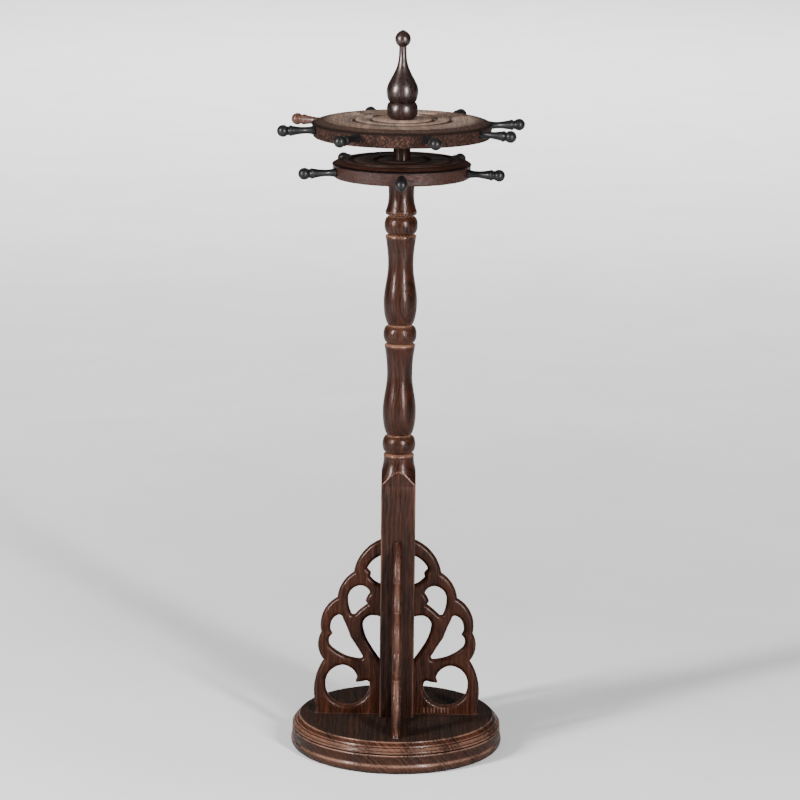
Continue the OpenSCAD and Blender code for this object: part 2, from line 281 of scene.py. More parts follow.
def make_base():
    base = turned("base", in_metres(base_profile()), FINE_STEPS, edge_marks=base_highlights_and_shade, shade_and_stain=shaded_base)
    cutters = [rod("recess", *WASHER_RECESS), rod("screw_hole", *SCREW_HOLE)]
    for i in range(4):
        for out in BRACKET_SCREW_OUT:
            cutters.append(rod("head_hole", *HEAD_RECESS, out, i * math.pi / 2))
    cut_away(base, cutters)
    shade(base)
    return base


# ---- Post and column ----

# Heights and radii in millimetres: the middles of the three beads, and the lamb's tongues over the post.
BEADS = (196.7, 267.0, 336.0)
POST_TOP, TONGUE_H, TONGUE_R = 171.0, 17, 9.5
CORNER_R = POST_HALF / MM * math.sqrt(2) + 0.6
GROOVE_R, BEAD_R, BELLY_R, NECK_R = 7.6, 10.45, 10.5, 7.9


def knot(z):
    """A bead between two grooves, over the crisp edge of a collar."""
    points = [(9.62, z - 7.5), (9.6, z - 7.0), (9.45, z - 6.55), (9.2, z - 6.4), (GROOVE_R + 0.2, z - 5.85)]
    points += arc_points(GROOVE_R + 0.4, z, BEAD_R - GROOVE_R - 0.4, 5.2, -80, 80, 28)
    points += [(GROOVE_R, z + 5.55), (GROOVE_R, z + 6.1)]
    return points


def baluster(z_low, z_high):
    """Belly and neck between the groove of one knot and the collar under the next."""
    length = z_high - z_low
    belly_z, neck_z = z_low + 0.255 * length, z_low + 0.68 * length
    points = []
    for i in range(13):
        t = math.cos(math.radians(90 * i / 12)) ** 0.8 * 0.97
        points.append((GROOVE_R + (BELLY_R - GROOVE_R) * dome(t), belly_z - (belly_z - z_low) * t))
    for i in range(1, 29):
        points.append((BELLY_R + (NECK_R - BELLY_R) * ease(i / 28), belly_z + (neck_z - belly_z) * i / 28))
    return points + sweep(neck_z, NECK_R, z_high, 9.62)[1:-1]


def column_profile():
    """(radius, height) in millimetres of the whole column before its post is squared."""
    foot, shoulder = BASE_H / MM, SHOULDER_Z / MM
    upper_z, finial_z = UPPER_Z / MM, FINIAL_Z / MM
    low, middle, high = BEADS
    points = [(CORNER_R, foot + (POST_TOP - foot) * i / 24) for i in range(25)]
    points += sweep(POST_TOP + TONGUE_H, TONGUE_R, POST_TOP, CORNER_R, 48)[::-1][1:]
    points += [(TONGUE_R, z) for z in (188.4, 188.9)]
    points += knot(low) + baluster(low + 6.3, middle - 7.4)
    points += knot(middle) + baluster(middle + 6.3, high - 7.4)
    points += knot(high)
    points += [(9.0, high + 6.55), (9.55, high + 6.9), (9.78, high + 7.5), (9.8, high + 8.3)]
    points += sweep(high + 18.7, NECK_R, high + 8.6, 9.8)[::-1]
    points += sweep(high + 19, NECK_R, shoulder, 9.3)
    points += [(9.3, shoulder + 0.001), (5.3, shoulder + 0.002)]
    points += [(5.3, upper_z - 0.4), (5.0, upper_z), (4.0, upper_z + 0.01)]
    return points + [(4.0, finial_z + 13.4), (3.5, finial_z + 14)]


def off_face(angles):
    """Angle from the middle of the nearest of the post's four faces."""
    return np.abs((angles + math.pi / 4) % (math.pi / 2) - math.pi / 4)


def squared(radii, angles):
    """Trims turned radii to the square post with eased corners, meeting the turned part in a soft line."""
    corner, blend = 0.9 * MM, 0.35 * MM
    fold = off_face(angles)
    flat = POST_HALF / np.cos(fold)
    middle = (POST_HALF - corner) * math.sqrt(2)
    off = math.pi / 4 - fold
    root = np.sqrt(np.maximum(corner ** 2 - (middle * np.sin(off)) ** 2, 0))
    rounded = middle * np.cos(off) + root
    on_corner = POST_HALF * np.tan(fold) > POST_HALF - corner
    square = np.where(on_corner, rounded, flat)
    return (radii + square - np.sqrt((radii - square) ** 2 + blend ** 2)) / 2


def column_wear_and_highlights(radii, heights, angles):
    """Pale rings beside the beads, painted highlight on each collar's top under a bead and pale wood in the
    groove over it, a pale line along the edge of the lamb's tongues, and pale post corners."""
    z, r = heights / MM, radii / MM
    pale = np.zeros_like(radii)
    for middle in BEADS:
        # Under each bead, painted highlight on the collar's top; over it, pale wood in the groove.
        pale = np.maximum(pale, soft_line(z, middle - 6.3, 0.8) * 0.55)
        pale = np.maximum(pale, soft_line(z, middle + 5.8, 0.7) * 0.4)
    face = POST_HALF / MM / np.cos(off_face(angles))
    inward = np.clip((face - TONGUE_R) / (CORNER_R - TONGUE_R), 0, 1)
    tongue = POST_TOP + TONGUE_H * (1 - np.sqrt(inward))
    on_tongue = soft_line(z, tongue + 0.2, 0.5) * 0.36
    on_corner = soft_line(r, CORNER_R - 0.97, 0.25) * (z < POST_TOP + 2) * 0.25
    return np.maximum(np.maximum(pale, on_tongue), on_corner)


def shaded_column(radii, heights):
    """Painted shade on the spindle between the discs and down the post between the brackets."""
    fade_from, fade_over = 150 * MM, 110 * MM
    low = np.clip((fade_from - heights) / fade_over, 0, 1) * 0.45
    return np.where(heights > SHOULDER_Z, 0.8, low)


def make_column():
    return turned("column_turned", in_metres(column_profile()), 240, limit=squared, edge_marks=column_wear_and_highlights,
                  shade_and_stain=shaded_column)


# ---- Brackets ----

# Outlines in the bracket's own plane, in millimetres: distance out from the axis, height above the
# base, and the bulge of the stretch to the next station, which is the arc's rise over half its chord.
ROOT = POST_HALF / MM
SUNK = ROOT - 4
BRACKET_H, BRACKET_FOOT = 114.4, 51.8


def bracket_edge(rise, foot):
    """Outer edge, run on into the post and below the base so that its rounding is cut off there."""
    toe = BRACKET_FOOT + foot
    return [
        (SUNK, BRACKET_H + rise + 2.5, 0), (ROOT, BRACKET_H + rise, 0.26), (27.8, 92.9, 0.23),
        (38.1, 76.2, 0.34), (48.2, 53.3, 0.32), (46.6, 35.1, 0.22), (toe - 1, 4.4, -0.2),
        (toe, 0, 0), (toe, -5, 0), (SUNK, -5, 0),
    ]


TOP_ARCH = [
    (SUNK, 105.0, 0), (ROOT - 1, 104.2, 0.2), (19.2, 95.7, 0), (16.7, 92.8, 0), (17.3, 90.3, 0.18),
    (ROOT - 1, 85, 0), (SUNK, 83.6, 0),
]
HIGH_PETAL = [
    (17.4, 79.4, 0.36), (24.1, 84.1, 0.4), (31.2, 74.6, 0.1), (29.3, 66.2, 0.6),
    (26.6, 65.4, -0.06), (18.9, 72, 0), (20.2, 74.2, -0.1),
]
INNER_LEAF = [
    (SUNK, 62.5, 0), (ROOT - 1, 63.3, 0.14), (16.5, 64.5, 0.34), (21.8, 58.4, 0.12),
    (16.8, 44.8, 0.02), (ROOT - 1, 34.5, 0), (SUNK, 28, 0),
]
OUTER_LEAF = [
    (37.1, 64.8, 0.3), (42.2, 58.2, 0.18), (42, 54.2, 0), (40.9, 52.3, 0), (42.4, 50.8, 0.35),
    (41.6, 43.6, 0.1), (31.2, 37.4, 0.05), (23.4, 35.8, 0.7), (22.3, 38.4, 0.02), (29.6, 50, 0.04),
    (34.6, 62.4, 0.42),
]
LOW_ROUND = [
    (25.2, 23.4, 0.34), (34.6, 31.6, 0.4), (45.4, 19, 0.42), (32, 5.4, 0.36), (17.6, 15.6, 0.12),
    (17.3, 19.4, 0.4), (19.4, 21.4, -0.06), (26.3, 20.2, -0.1),
]
OPENINGS = (TOP_ARCH, HIGH_PETAL, INNER_LEAF, OUTER_LEAF, LOW_ROUND)
BRACKET_HALF_T = (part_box("bracket_right")[1].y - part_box("bracket_right")[0].y) / 2 / MM
# Rounding of the bracket's edges, and the grid it is carved from.
NOSE_R = 2.7
CELL = 0.5


def outline(stations, steps=12):
    """Points round a closed outline of stations joined by straight lines and arcs."""
    found = []
    for here, after in zip(stations, stations[1:] + stations[:1]):
        p, q = Vector(here[:2]), Vector(after[:2])
        bulge = here[2]
        if abs(bulge) < 1e-3:
            found.append(p)
            continue
        chord = q - p
        half = chord.length / 2
        rise = bulge * half
        side = Vector((-chord.y, chord.x)) / chord.length
        centre = (p + q) / 2 - side * (half * half - rise * rise) / (2 * rise)
        v = p - centre
        for i in range(steps):
            a = -4 * math.atan(bulge) * i / steps
            c, s = math.cos(a), math.sin(a)
            found.append(centre + Vector((v.x * c - v.y * s, v.x * s + v.y * c)))
    return np.array(found)


def depth_inside(loops, points):
    """Distance of points from the nearest line of the loops, above 0 in the wood and below 0 outside it."""
    nearest = np.full(len(points), 1e9)
    inside = np.zeros(len(points), bool)
    for loop in loops:
        for a, b in zip(loop, np.roll(loop, -1, 0)):
            d = b - a
            t = np.clip(((points - a) @ d) / max(d @ d, 1e-12), 0, 1)
            nearest = np.minimum(nearest, np.linalg.norm(points - a - t[:, None] * d, axis=1))
            crosses = (points[:, 1] < a[1]) != (points[:, 1] < b[1])
            if d[1] != 0:
                x = a[0] + (points[:, 1] - a[1]) / d[1] * d[0]
                inside ^= crosses & (points[:, 0] < x)
    return np.where(inside, nearest, -nearest)


def surface_net(values, low, cell):
    """Vertices and quads of the surface where a grid of signed distances, below 0 inside, passes 0."""
    shape = np.array(values.shape) - 1
    total = np.zeros((*shape, 3))
    count = np.zeros(shape)
    corners = [(i, j, k) for i in (0, 1) for j in (0, 1) for k in (0, 1)]

    def corner(c):
        return values[c[0]:c[0] + shape[0], c[1]:c[1] + shape[1], c[2]:c[2] + shape[2]]

    for a in corners:
        for axis in range(3):
            if a[axis]:
                continue
            b = tuple(a[k] + (k == axis) for k in range(3))
            va, vb = corner(a), corner(b)
            cross = (va < 0) != (vb < 0)
            t = np.where(cross, va / np.where(cross, va - vb, 1), 0)
            point = np.stack([np.full(shape, float(a[k])) + (t if k == axis else 0)
                              for k in range(3)], -1)
            total += np.where(cross[..., None], point, 0)
            count += cross
    live = count > 0
    index = np.full(shape, -1)
    index[live] = np.arange(live.sum())
    vertices = (np.argwhere(live) + total[live] / count[live][:, None]) * cell + low
    quads = []
    inside = values < 0
    for axis in range(3):
        u, v = (axis + 1) % 3, (axis + 2) % 3
        near = [slice(1, -1)] * 3
        far = [slice(1, -1)] * 3
        near[axis], far[axis] = slice(0, -1), slice(1, None)
        a, b = inside[tuple(near)], inside[tuple(far)]
        for leaving in (True, False):
            at = np.argwhere((a & ~b) if leaving else (~a & b))
            at[:, u] += 1
            at[:, v] += 1
            ring = []
            for du, dv in ((-1, -1), (0, -1), (0, 0), (-1, 0)):
                spot = at.copy()
                spot[:, u] += du
                spot[:, v] += dv
                ring.append(index[spot[:, 0], spot[:, 1], spot[:, 2]])
            quads.append(np.stack(ring if leaving else ring[::-1], -1))
    return vertices, np.vstack(quads)


def bracket_mesh(rise, foot):
    """Vertices and quads of one bracket in millimetres: x out from the axis, y across, z above the base."""
    loops = [outline(bracket_edge(rise, foot))] + [outline(o) for o in OPENINGS]
    half_y = BRACKET_HALF_T + 1.25
    low = np.array([SUNK - 2, -half_y, -7.0])
    size = np.array([60, 2 * half_y, 128])
    shape = np.ceil(size / CELL).astype(int) + 1
    x, y, z = (low[axis] + np.arange(shape[axis]) * CELL for axis in range(3))
    flat = np.stack(np.meshgrid(x, z, indexing="ij"), -1).reshape(-1, 2)
    depth = depth_inside(loops, flat).reshape(len(x), len(z))
    a = (NOSE_R - depth)[:, None, :]
    b = (np.abs(y) - BRACKET_HALF_T + NOSE_R)[None, :, None]
    rounded = np.hypot(np.maximum(a, 0), np.maximum(b, 0))
    values = np.minimum(np.maximum(a, b), 0) + rounded - NOSE_R
    return surface_net(values, low, CELL)


def bracket_wear_and_highlights(places, side):
    """Pale along the middle of the edges, from wear and painted highlight, strongest on the front bracket's
    nose as painted highlight, pale at the foot, and chisel marks on the right bracket.
    """
    out, across, up = places.T
    # Painted highlight: the front bracket's nose is painted brighter than the others'.
    crown = soft_line(across, 0, 1.3) * (0.5 if side == "front" else 0.22)
    crown[out < ROOT + 0.1] = 0
    foot = np.where(up < 0.2, 0.6, 0)
    if side == "right":
        in_row = (out > 17) & (out < 34) & (up > 0.8) & (up < 4.4)
        on_mark = np.sin(out * 2.9) > 0.4
        foot = np.where(in_row & on_mark, 0.7, foot)
    return np.maximum(crown, foot)


def make_brackets():
    made = {}
    cuts = (((ROOT * MM, 0, 0), (-1, 0, 0)), ((0, 0, 0), (0, 0, -1)))
    for i, side in enumerate(SIDES):
        reach = reach_of(f"bracket_{side}") / MM
        rise = (top_of(f"bracket_{side}") - BASE_H) / MM - BRACKET_H
        vertices, quads = bracket_mesh(rise, reach - BRACKET_FOOT)
        piece = mesh_object(f"bracket_{side}_carved", vertices * MM, quads.tolist())
        grid = bmesh.new()
        grid.from_mesh(piece.data)
        for point, normal in cuts:
            everything = grid.verts[:] + grid.edges[:] + grid.faces[:]
            cut = bmesh.ops.bisect_plane(grid, geom=everything, dist=1e-7, plane_co=point, plane_no=normal,
                                         clear_outer=True)
            rim = [e for e in cut["geom_cut"] if isinstance(e, bmesh.types.BMEdge)]
            bmesh.ops.holes_fill(grid, edges=rim, sides=0)
        grid.to_mesh(piece.data)
        grid.free()
        places = np.array([v.co for v in piece.data.vertices]) / MM
        paint(piece, "edge", bracket_wear_and_highlights(places, side))
        paint(piece, "shade_and_stain", np.zeros(len(places)))
        quarter = Matrix.Rotation(i * math.pi / 2, 4, "Z")
        piece.data.transform(quarter @ Matrix.Translation((0, 0, BASE_H)))
        shade(piece, 50)
        made[side] = piece
    return made


# ---- Discs ----

# How far below the top the rim starts, in millimetres.
RIM_DROP = 2.6


def disc_profile(r, ovolo_w, bore_r, rings):
    """(radius, height) in millimetres: a tapered rim, a wide ovolo and round-bottomed ring grooves."""
    thick, ovolo_h, edge_r = DISC_T / MM, 2.5, 1.3
    ovolo_r = (ovolo_w ** 2 + ovolo_h ** 2) / (2 * ovolo_h)
    end = math.degrees(math.asin(ovolo_w / ovolo_r))
    crest = r - ovolo_w
    points = [(bore_r, 0.4), (bore_r + 0.4, 0.0), (r * 0.5, 0.0)]
    points += arc_points(r - 0.8 - edge_r, edge_r, edge_r, edge_r, -90, 0, 8)
    points += [(r - 0.55, thick * 0.4), (r - 0.3, thick - ovolo_h - 1.0), (r - 0.2, thick - ovolo_h - 0.35)]
    points += arc_points(crest, thick - 0.25 - ovolo_r, ovolo_r, ovolo_r, 90 - end, 90, 20)
    points += [(crest - 0.15, thick - 0.2), (crest - 0.25, thick), (crest - 0.7, thick)]
    points.append((max(crest - 5, rings[-1] + 2.6), thick))
    for middle in reversed(rings):
        points += ring_groove(middle, thick)
    return points + [(bore_r + 1.5, thick), (bore_r + 0.3, thick), (bore_r, thick - 0.3)]


def ring_groove(middle, top, width=4.2, depth=1.1):
    half, lip = width / 2, 0.25
    points = [(middle + half + lip, top)]
    for degrees in range(4, 177, 12):
        a = math.radians(degrees)
        points.append((middle + half * math.cos(a), top - depth * math.sin(a) - 0.05))
    return points + [(middle - half - lip, top)]


def make_disc(name, node, z, ovolo_w, bore_r, rings):
    reach = reach_of(node)
    profile = disc_profile(reach / MM, ovolo_w, bore_r, rings)

    def rim_and_grooves(radii, heights):
        """Where the colour takes the shaded tone: full on the rim, which is the wood's own darker tone,
        lighter up the ovolo to just past its crest as painted shade, and on the inner walls of the ring
        grooves as dirt with painted shade. across is 0 at the ovolo's crest and 1 at the rim."""
        drop = (z + DISC_T - heights) / MM
        across = (radii - reach) / MM / ovolo_w + 1
        shade_and_stain = np.minimum(0.62 + 1.2 * across, 0.86 + 0.1 * across) * (across > -0.1)
        down_wall = np.clip(drop / 0.35, 0, 0.9)
        for middle in rings:
            inner_wall = (radii < middle * MM) & (radii > (middle - 2.4) * MM)
            shade_and_stain = np.maximum(shade_and_stain, down_wall * inner_wall)
        return np.maximum(shade_and_stain, drop > RIM_DROP)

    def crease(radii, heights, angles):
        """Painted shade in the line between the ovolo and the rim, under the lip."""
        drop = (z + DISC_T - heights) / MM
        return np.where((drop > RIM_DROP - 0.8) & (drop < RIM_DROP + 0.4), -1.0, 0.0)

    return turned(name, in_metres(profile, z), FINE_STEPS, closed=True, edge_marks=crease, shade_and_stain=rim_and_grooves)


# ---- Pegs ----

# How far a peg stands out from the rim and its ball's radius, in millimetres.
PEG_REACH, PEG_BALL_R = 23.8, 3.7


def peg_profile():
    """(radius, distance out from the rim) in millimetres: tenon, waist, swelling, collar and ball."""
    ball_x, waist_x, waist_r = PEG_REACH - PEG_BALL_R, 6.0, 2.05
    collar_x = ball_x - 4.9
    swelling = collar_x - waist_x - 0.9
    points = [(2.3, -9.0), (2.5, -8.8), (2.5, -0.1), (2.75, 0.1), (2.82, 0.45)]
    points += sweep(waist_x, waist_r, 0.9, 2.7, 10)[::-1]
    points += [(waist_r + 0.98 * (i / 14) ** 1.7, waist_x + swelling * i / 14) for i in range(1, 15)]
    points += arc_points(2.65, collar_x, 0.68, 0.85, -60, 80, 10)
    points += [(2.72, collar_x + 1.3), (2.72, collar_x + 1.9)]
    points += arc_points(0, ball_x, PEG_BALL_R, PEG_BALL_R, -42, 84, 18)
    return points


def make_pegs(prefix, count, node_disc, first_degrees):
    sunk = 0.4 * MM
    rim = reach_of(node_disc) - sunk
    z = (bottom_of(f"{prefix}_1") + top_of(f"{prefix}_1")) / 2
    lay_down = Matrix.Rotation(math.pi / 2, 4, "Y")
    made = []
    for i in range(count):
        angle = math.radians(first_degrees + 360 / count * i)
        place = Matrix.Rotation(angle, 4, "Z") @ Matrix.Translation((rim, 0, z))
        made.append(turned(f"{prefix}_{i + 1}_turned", in_metres(peg_profile()), 40, turn=place @ lay_down))
    return made


# ---- Finial ----

def finial_profile():
    """(radius, height) in millimetres, from the roof of the socket inside, down its wall and up the
    outside: a base bead, a belly drawn up into a thin neck, and an onion knob."""
    belly_z, waist, widest = 17.3, 8.0, reach_of("finial") / MM
    neck_z, neck = 43.5, 2.33
    knob_z, knob_r, knob_h = 49.3, 4.88, 5.7
    bead = (6.9, 6, 2.75)
    points = [(2.0, 14.5), (4.05, 14.5), (4.05, 0.3), (4.3, 0.0), (6.9, 0.0), (7.3, 0.35)]
    points += arc_points(*bead, 5.6, -62, 0, 10)
    points += arc_points(*bead, 5.0, 6, 72, 10)
    for i in range(12):
        t = math.cos(math.radians(90 * i / 12)) ** 0.8 * 0.95
        points.append((waist + (widest - waist) * dome(t), belly_z - 6.4 * t))
    for i in range(41):
        t = i / 40
        points.append((neck + (widest - neck) * ease((1 - t) ** 1.5), belly_z + (neck_z - belly_z) * t))
    points += [(neck, neck_z + 1.1), (2.45, neck_z + 1.5), (2.7, neck_z + 1.75)]
    points += arc_points(0, knob_z, knob_r, 4.9, -46, 0, 10)
    for i in range(1, 15):
        a = math.radians(88 * i / 14)
        points.append((knob_r * math.cos(a) ** 1.4, knob_z + knob_h * math.sin(a)))
    return points


# ---- Materials ----

def new_material(name):
    made = bpy.data.materials.new(name)
    made.use_nodes = True
    tree = made.node_tree
    shader = next(n for n in tree.nodes if n.type == "BSDF_PRINCIPLED")
    return made, tree, shader


def add(tree, kind, inputs=None, **settings):
    """A node with its settings, and its inputs by name or place as values or as other nodes' outputs."""
    made = tree.nodes.new(kind)
    for key, value in settings.items():
        setattr(made, key, value)
    for key, value in (inputs or {}).items():
        if isinstance(value, bpy.types.NodeSocket):
            tree.links.new(value, made.inputs[key])
        else:
            made.inputs[key].default_value = value
    return made


def math_of(tree, operation, a, b=0.0):
    return add(tree, "ShaderNodeMath", {0: a, 1: b}, operation=operation).outputs[0]


def mix(tree, factor, a, b, blend="MIX"):
    """Colour mix of a and b."""
    made = add(tree, "ShaderNodeMix", {0: factor, 6: a, 7: b}, data_type="RGBA", blend_type=blend)
    return made.outputs[2]


def ramp(tree, value, stops):
    """Greys at places along a value."""
    made = add(tree, "ShaderNodeValToRGB", {0: value})
    line = made.color_ramp
    while len(line.elements) < len(stops):
        line.elements.new(0.5)
    for element, (place, grey) in zip(line.elements, stops):
        element.position = place
        element.color = (grey, grey, grey, 1)
    return made.outputs[0]


def contrast(tree, value, low, high):
    """0 below low, 1 above high and a straight ramp between."""
    return ramp(tree, value, [(low, 0.0), (high, 1.0)])


def noise(tree, vector, scale, detail=2.0, rough=0.5):
    inputs = {"Vector": vector, "Scale": scale, "Detail": detail, "Roughness": rough}
    return add(tree, "ShaderNodeTexNoise", inputs)


def vector_math(tree, operation, a, b):
    return add(tree, "ShaderNodeVectorMath", {0: a, 1: b}, operation=operation).outputs[0]


def length_of(tree, vector):
    return add(tree, "ShaderNodeVectorMath", {0: vector}, operation="LENGTH").outputs["Value"]


def grained(tree, vector, across, along, detail=2.0, rough=0.5):
    """Noise with features across wide and along long, in millimetres, with the grain on Z."""
    across, along = across * MM, along * MM
    stretched = vector_math(tree, "MULTIPLY", vector, (1 / across, 1 / across, 1 / along))
    return noise(tree, stretched, 1.0, detail, rough)


def moved_by(tree, place, wander, amount):
    """Places pushed about by a colour noise, up to half the amount each way."""
    centred = vector_math(tree, "ADD", wander, (-0.5, -0.5, -0.5))
    scaled = {0: centred, "Scale": amount}
    pushed = add(tree, "ShaderNodeVectorMath", scaled, operation="SCALE").outputs[0]
    return vector_math(tree, "ADD", place, pushed)


def weighted(tree, *parts):
    """Sum of outputs, each given with its weight, kept between 0 and 1."""
    total = 0.0
    for output, weight in parts:
        inputs = {0: output, 1: weight, 2: total}
        total = add(tree, "ShaderNodeMath", inputs, operation="MULTIPLY_ADD").outputs[0]
    return math_of(tree, "MAXIMUM", math_of(tree, "MINIMUM", total, 1.0), 0.0)


def tone(colour, factor=1.0):
    """A colour for a socket, made darker or lighter by a factor."""
    return (*[c * factor for c in colour], 1)


def painted(tree, name):
    """A number painted on the vertices."""
    return add(tree, "ShaderNodeAttribute", attribute_name=name).outputs["Fac"]


def roughened(tree, shader, height, strength, distance):
    """Bump from a height, with its distance in millimetres."""
    inputs = {"Height": height, "Strength": strength, "Distance": distance * MM}
    bumped = add(tree, "ShaderNodeBump", inputs).outputs[0]
    tree.links.new(bumped, shader.inputs["Normal"])


def wood(name, grain=(0, 0, 0), pith=(-27, 36), spacing=1.4, length=16, weights=(0.5, 0.4, 0.3),
         porous=0.4, dark=(0.0016, 0.0005, 0.0003), light=(0.028, 0.0092, 0.0045),
         warm=(0.036, 0.0088, 0.003), warmth=0.4, figure=3.0, roughness=0.24, coat=0.17, bump=0.4,
         wear_and_highlight=(0.15, 0.078, 0.05), shade_and_stain_amount=0.75, shade_tone=(0, 0, 0), cut=0.5, shine=0.08, base=0.0,
         tint=(1.0, 0.7, 0.62)):
    """Dark streaked wood cut from one block: curved growth layers round a pith, pores along the grain,
    pale edges from wear and painted highlight, dark grooves from dirt and painted shade, and a darker tone
    with crossed tool marks where painted shade, and on some pieces a darker stain, is marked. grain is the
    turn of the block in degrees, pith, spacing and length are in millimetres, and weights are the shares of
    growth layers, fibres and flecks in the streaks."""
    made, tree, shader = new_material(name)
    place = add(tree, "ShaderNodeTexCoord").outputs["Object"]
    block = add(tree, "ShaderNodeMapping", {"Vector": place, "Rotation": [math.radians(a) for a in grain],
                                            "Location": (-pith[0] * MM, -pith[1] * MM, 0)}).outputs[0]
    slow = grained(tree, block, 22, 70).outputs["Color"]
    fine = grained(tree, block, 2.5, 16).outputs["Color"]
    drifted = moved_by(tree, block, slow, figure * 2 * MM)
    moved = moved_by(tree, drifted, fine, 0.9 * MM)
    flat = vector_math(tree, "MULTIPLY", moved, (1, 1, 0))
    layer = math_of(tree, "DIVIDE", length_of(tree, flat), spacing * MM)
    bands = add(tree, "ShaderNodeTexNoise", {"W": layer, "Scale": 1.0, "Detail": 3.0, "Roughness": 0.7},
                noise_dimensions="1D").outputs[0]
    band = contrast(tree, bands, 0.43, 0.64)
    fibre = contrast(tree, grained(tree, drifted, 0.75, length, 3.0, 0.6).outputs[0], 0.42, 0.66)
    fleck = contrast(tree, grained(tree, drifted, 0.7, length * 0.3, 1.0).outputs[0], 0.54, 0.7)
    pore = contrast(tree, grained(tree, block, 0.5, length * 0.5, 1.0).outputs[0], 0.54, 0.66)
    patch = contrast(tree, grained(tree, block, 14, 40).outputs[0], 0.38, 0.66)
    shade_and_stain, edge = painted(tree, "shade_and_stain"), painted(tree, "edge")

    streak = weighted(tree, (band, weights[0]), (fibre, weights[1]), (fleck, weights[2]), (patch, 0.08),
                      (1.0, base))
    plain = mix(tree, streak, tone(dark), tone(light))
    ruddy = mix(tree, streak, tone(warm, 0.25), tone(warm))
    colour = mix(tree, math_of(tree, "MULTIPLY", patch, warmth), plain, ruddy)

    # Two sets of slanted scratches, which leave tool marks where they cross.
    marks = 1.0
    for slant in (38, -38):
        leaning = add(tree, "ShaderNodeMapping", {"Vector": place, "Rotation": (0, math.radians(slant), 0)})
        scratches = grained(tree, leaning.outputs[0], 0.85, 3.5).outputs[0]
        marks = math_of(tree, "MULTIPLY", contrast(tree, scratches, 0.45, 0.56), marks)
    shaded = mix(tree, marks, tone(shade_tone, 1 - cut), tone(shade_tone, 1 + cut))
    # Where painted shade, and on some pieces a darker stain, is marked, the colour goes to the shaded tone
    # with its tool marks.
    colour = mix(tree, math_of(tree, "MULTIPLY", shade_and_stain, shade_and_stain_amount), colour, shaded)

    # Pale edges: wear on the arrises, with painted highlight lines on the base, column and brackets.
    arris = math_of(tree, "MAXIMUM", edge, 0.0)
    edge_marks = math_of(tree, "MULTIPLY", arris, weighted(tree, (fibre, 0.9), (patch, 0.9)))
    edge_marks = math_of(tree, "MULTIPLY", edge_marks, math_of(tree, "SUBTRACT", 1.0, shade_and_stain))
    most_pale, most_dirt_and_shade = 0.9, 0.85
    edge_marks = math_of(tree, "MINIMUM", math_of(tree, "MULTIPLY", edge_marks, 1.6), most_pale)
    colour = mix(tree, edge_marks, colour, tone(wear_and_highlight))
    # Dark grooves: dirt, with painted shade in the base's notch and in the discs' crease.
    groove = math_of(tree, "MINIMUM", math_of(tree, "MULTIPLY", edge, -2.0), most_dirt_and_shade)
    colour = mix(tree, math_of(tree, "MAXIMUM", groove, 0.0), colour, tone(dark, 0.15))
    sunk = math_of(tree, "MULTIPLY", pore, porous)
    colour = mix(tree, sunk, colour, tone(dark, 0.4))
    tree.links.new(colour, shader.inputs["Base Color"])

    height = math_of(tree, "SUBTRACT", weighted(tree, (streak, 0.4), (fibre, 0.4)), sunk)
    roughened(tree, shader, height, bump, 0.12)
    rough = weighted(tree, (pore, 0.3), (fibre, -0.16), (edge, 0.2), (shade_and_stain, 0.25), (patch, 0.06),
                     (1.0, roughness + 0.14))
    tree.links.new(rough, shader.inputs["Roughness"])
    lustre = weighted(tree, (1.0, 0.4), (fibre, 0.6), (fleck, 0.2), (pore, -porous), (shade_and_stain, -0.3))
    tree.links.new(math_of(tree, "MULTIPLY", lustre, coat * 1.6), shader.inputs["Coat Weight"])
    shader.inputs["Specular IOR Level"].default_value = shine
    shader.inputs["Coat Roughness"].default_value = 0.2
    shader.inputs["Specular Tint"].default_value = (*tint, 1)
    return made


def ebony(name, dark=(0.0008, 0.0007, 0.0008), light=(0.004, 0.0035, 0.0035), roughness=0.42):
    """Polished close-grained wood with faint fibres and small dents."""
    made, tree, shader = new_material(name)
    place = add(tree, "ShaderNodeTexCoord").outputs["Object"]
    fibre = contrast(tree, grained(tree, place, 0.8, 0.8, 3.0, 0.6).outputs[0], 0.38, 0.68)
    dents = grained(tree, place, 2.2, 2.2).outputs[0]
    colour = mix(tree, fibre, tone(dark), tone(light))
    edge_marks = math_of(tree, "MULTIPLY", math_of(tree, "MAXIMUM", painted(tree, "edge"), 0.0), fibre)
    colour = mix(tree, edge_marks, colour, tone(light, 2.5))
    tree.links.new(colour, shader.inputs["Base Color"])
    tree.links.new(weighted(tree, (fibre, 0.15), (1.0, roughness)), shader.inputs["Roughness"])
    roughened(tree, shader, weighted(tree, (fibre, 0.2), (dents, 0.8)), 0.3, 0.15)
    shader.inputs["Specular IOR Level"].default_value = 0.12
    shader.inputs["Coat Weight"].default_value = 0.08
    shader.inputs["Coat Roughness"].default_value = 0.2
    return made


def plated_steel(name):
    """Zinc-plated steel, a little mottled, with fine scratches."""
    made, tree, shader = new_material(name)
    place = add(tree, "ShaderNodeTexCoord").outputs["Object"]
    mottle = grained(tree, place, 1.5, 1.5, 4.0, 0.6).outputs[0]
    scratch = noise(tree, vector_math(tree, "MULTIPLY", place, (9000, 900, 900)), 1.0).outputs[0]
    colour = mix(tree, mottle, (0.42, 0.42, 0.41, 1), (0.66, 0.64, 0.58, 1))
    tree.links.new(colour, shader.inputs["Base Color"])
    shader.inputs["Metallic"].default_value = 1.0
    gloss = math_of(tree, "ADD", math_of(tree, "MULTIPLY", mottle, 0.25), 0.2)
    tree.links.new(gloss, shader.inputs["Roughness"])
    roughened(tree, shader, scratch, 0.2, 0.03)
    return made


